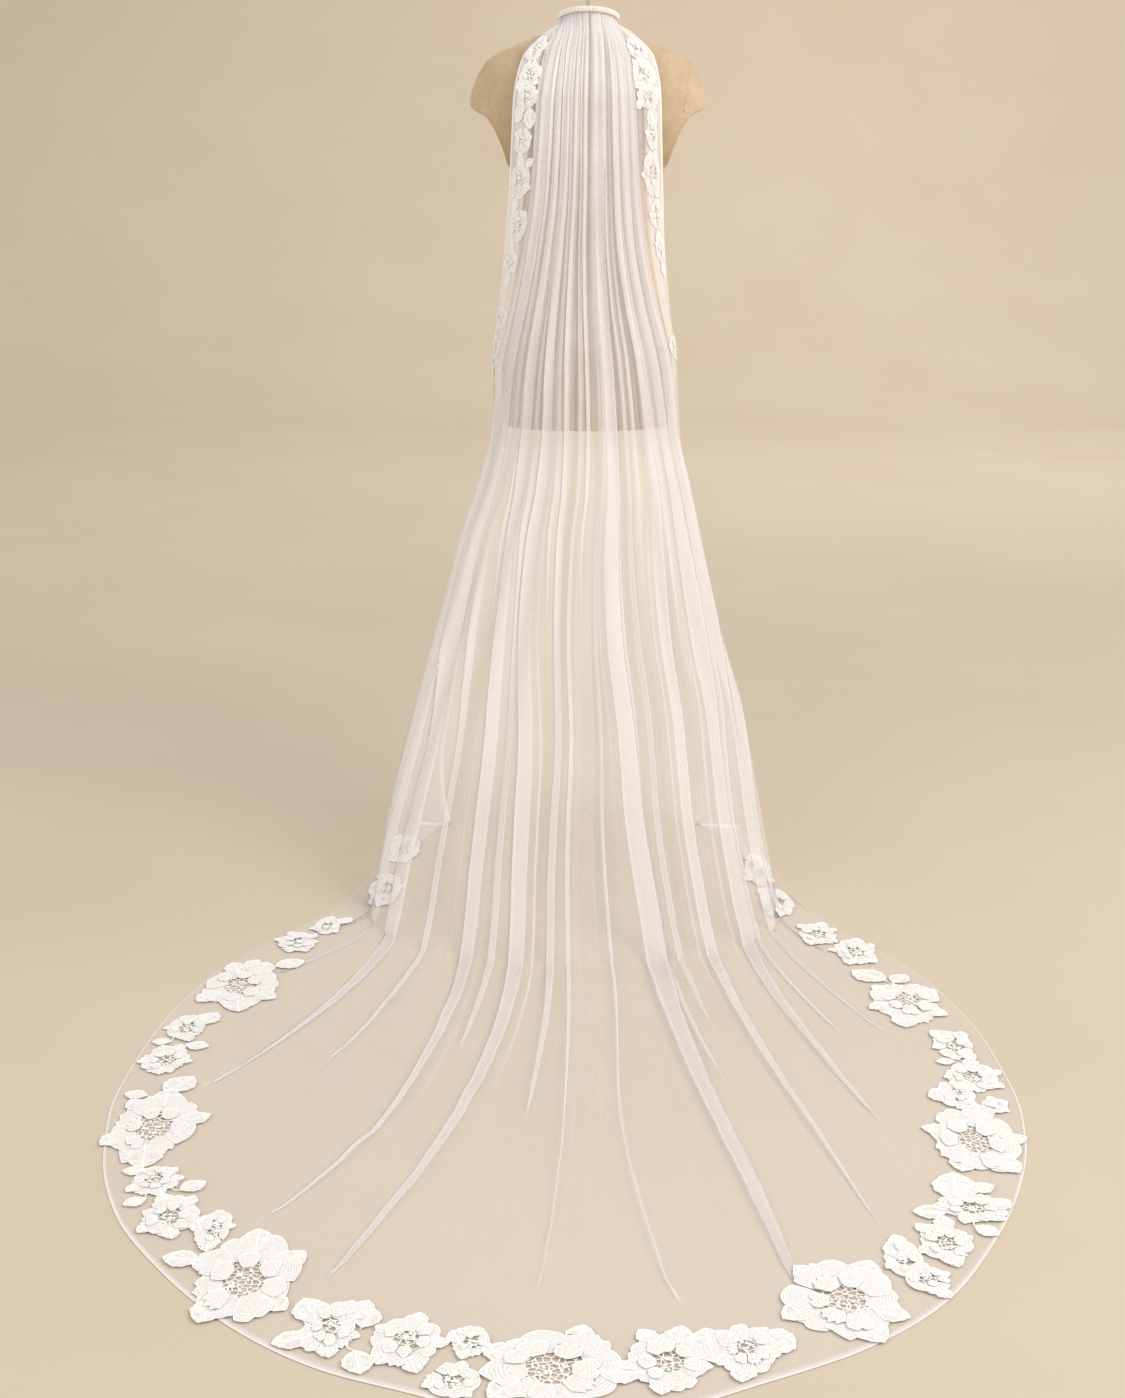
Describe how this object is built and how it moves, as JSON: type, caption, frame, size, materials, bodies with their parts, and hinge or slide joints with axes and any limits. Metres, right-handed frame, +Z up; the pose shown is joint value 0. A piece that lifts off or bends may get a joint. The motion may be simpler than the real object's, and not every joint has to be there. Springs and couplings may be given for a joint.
{
  "type": "bridal veil on a dress form",
  "caption": "Long gathered tulle veil with appliqued lace edges and an oval train, worn by a limbless dress form that hangs from a wire hook.",
  "frame": {"origin": "the point inside the top of the wire hook where it bears on a rail, 1.575 m above the floor", "axes": "+Z up along the hook's stem and the form's axis, -Y along the train that trails away over the floor, +Y towards the front of the form, +X to the viewer's right in the picture"},
  "size_m": [1.237, 2.115, 1.5801],
  "materials": {
    "tulle": "sheer",
    "lace": "matte",
    "satin": "satin",
    "linen": "matte",
    "beech": "satin",
    "steel_wire": "satin",
    "nylon": "gloss"
  },
  "bodies": {
    "root": {"veil_tulle": "tulle", "head_band": "satin", "comb": "nylon", "dress_form": "linen", "neck_cap": "beech", "hang_hook": "steel_wire", "lace_bottom_1": "lace", "lace_bottom_2": "lace", "lace_bottom_3": "lace", "lace_edge_left_1": "lace", "lace_edge_left_2": "lace", "lace_edge_left_3": "lace", "lace_edge_right_1": "lace", "lace_edge_right_2": "lace", "lace_foot_left": "lace", "lace_left_1": "lace", "lace_left_2": "lace", "lace_left_3": "lace", "lace_left_4": "lace", "lace_left_5": "lace", "lace_left_6": "lace", "lace_left_7": "lace", "lace_right_1": "lace", "lace_right_2": "lace", "lace_right_3": "lace", "lace_right_4": "lace", "lace_right_5": "lace", "lace_right_6": "lace", "lace_right_7": "lace"}
  },
  "joints": []
}
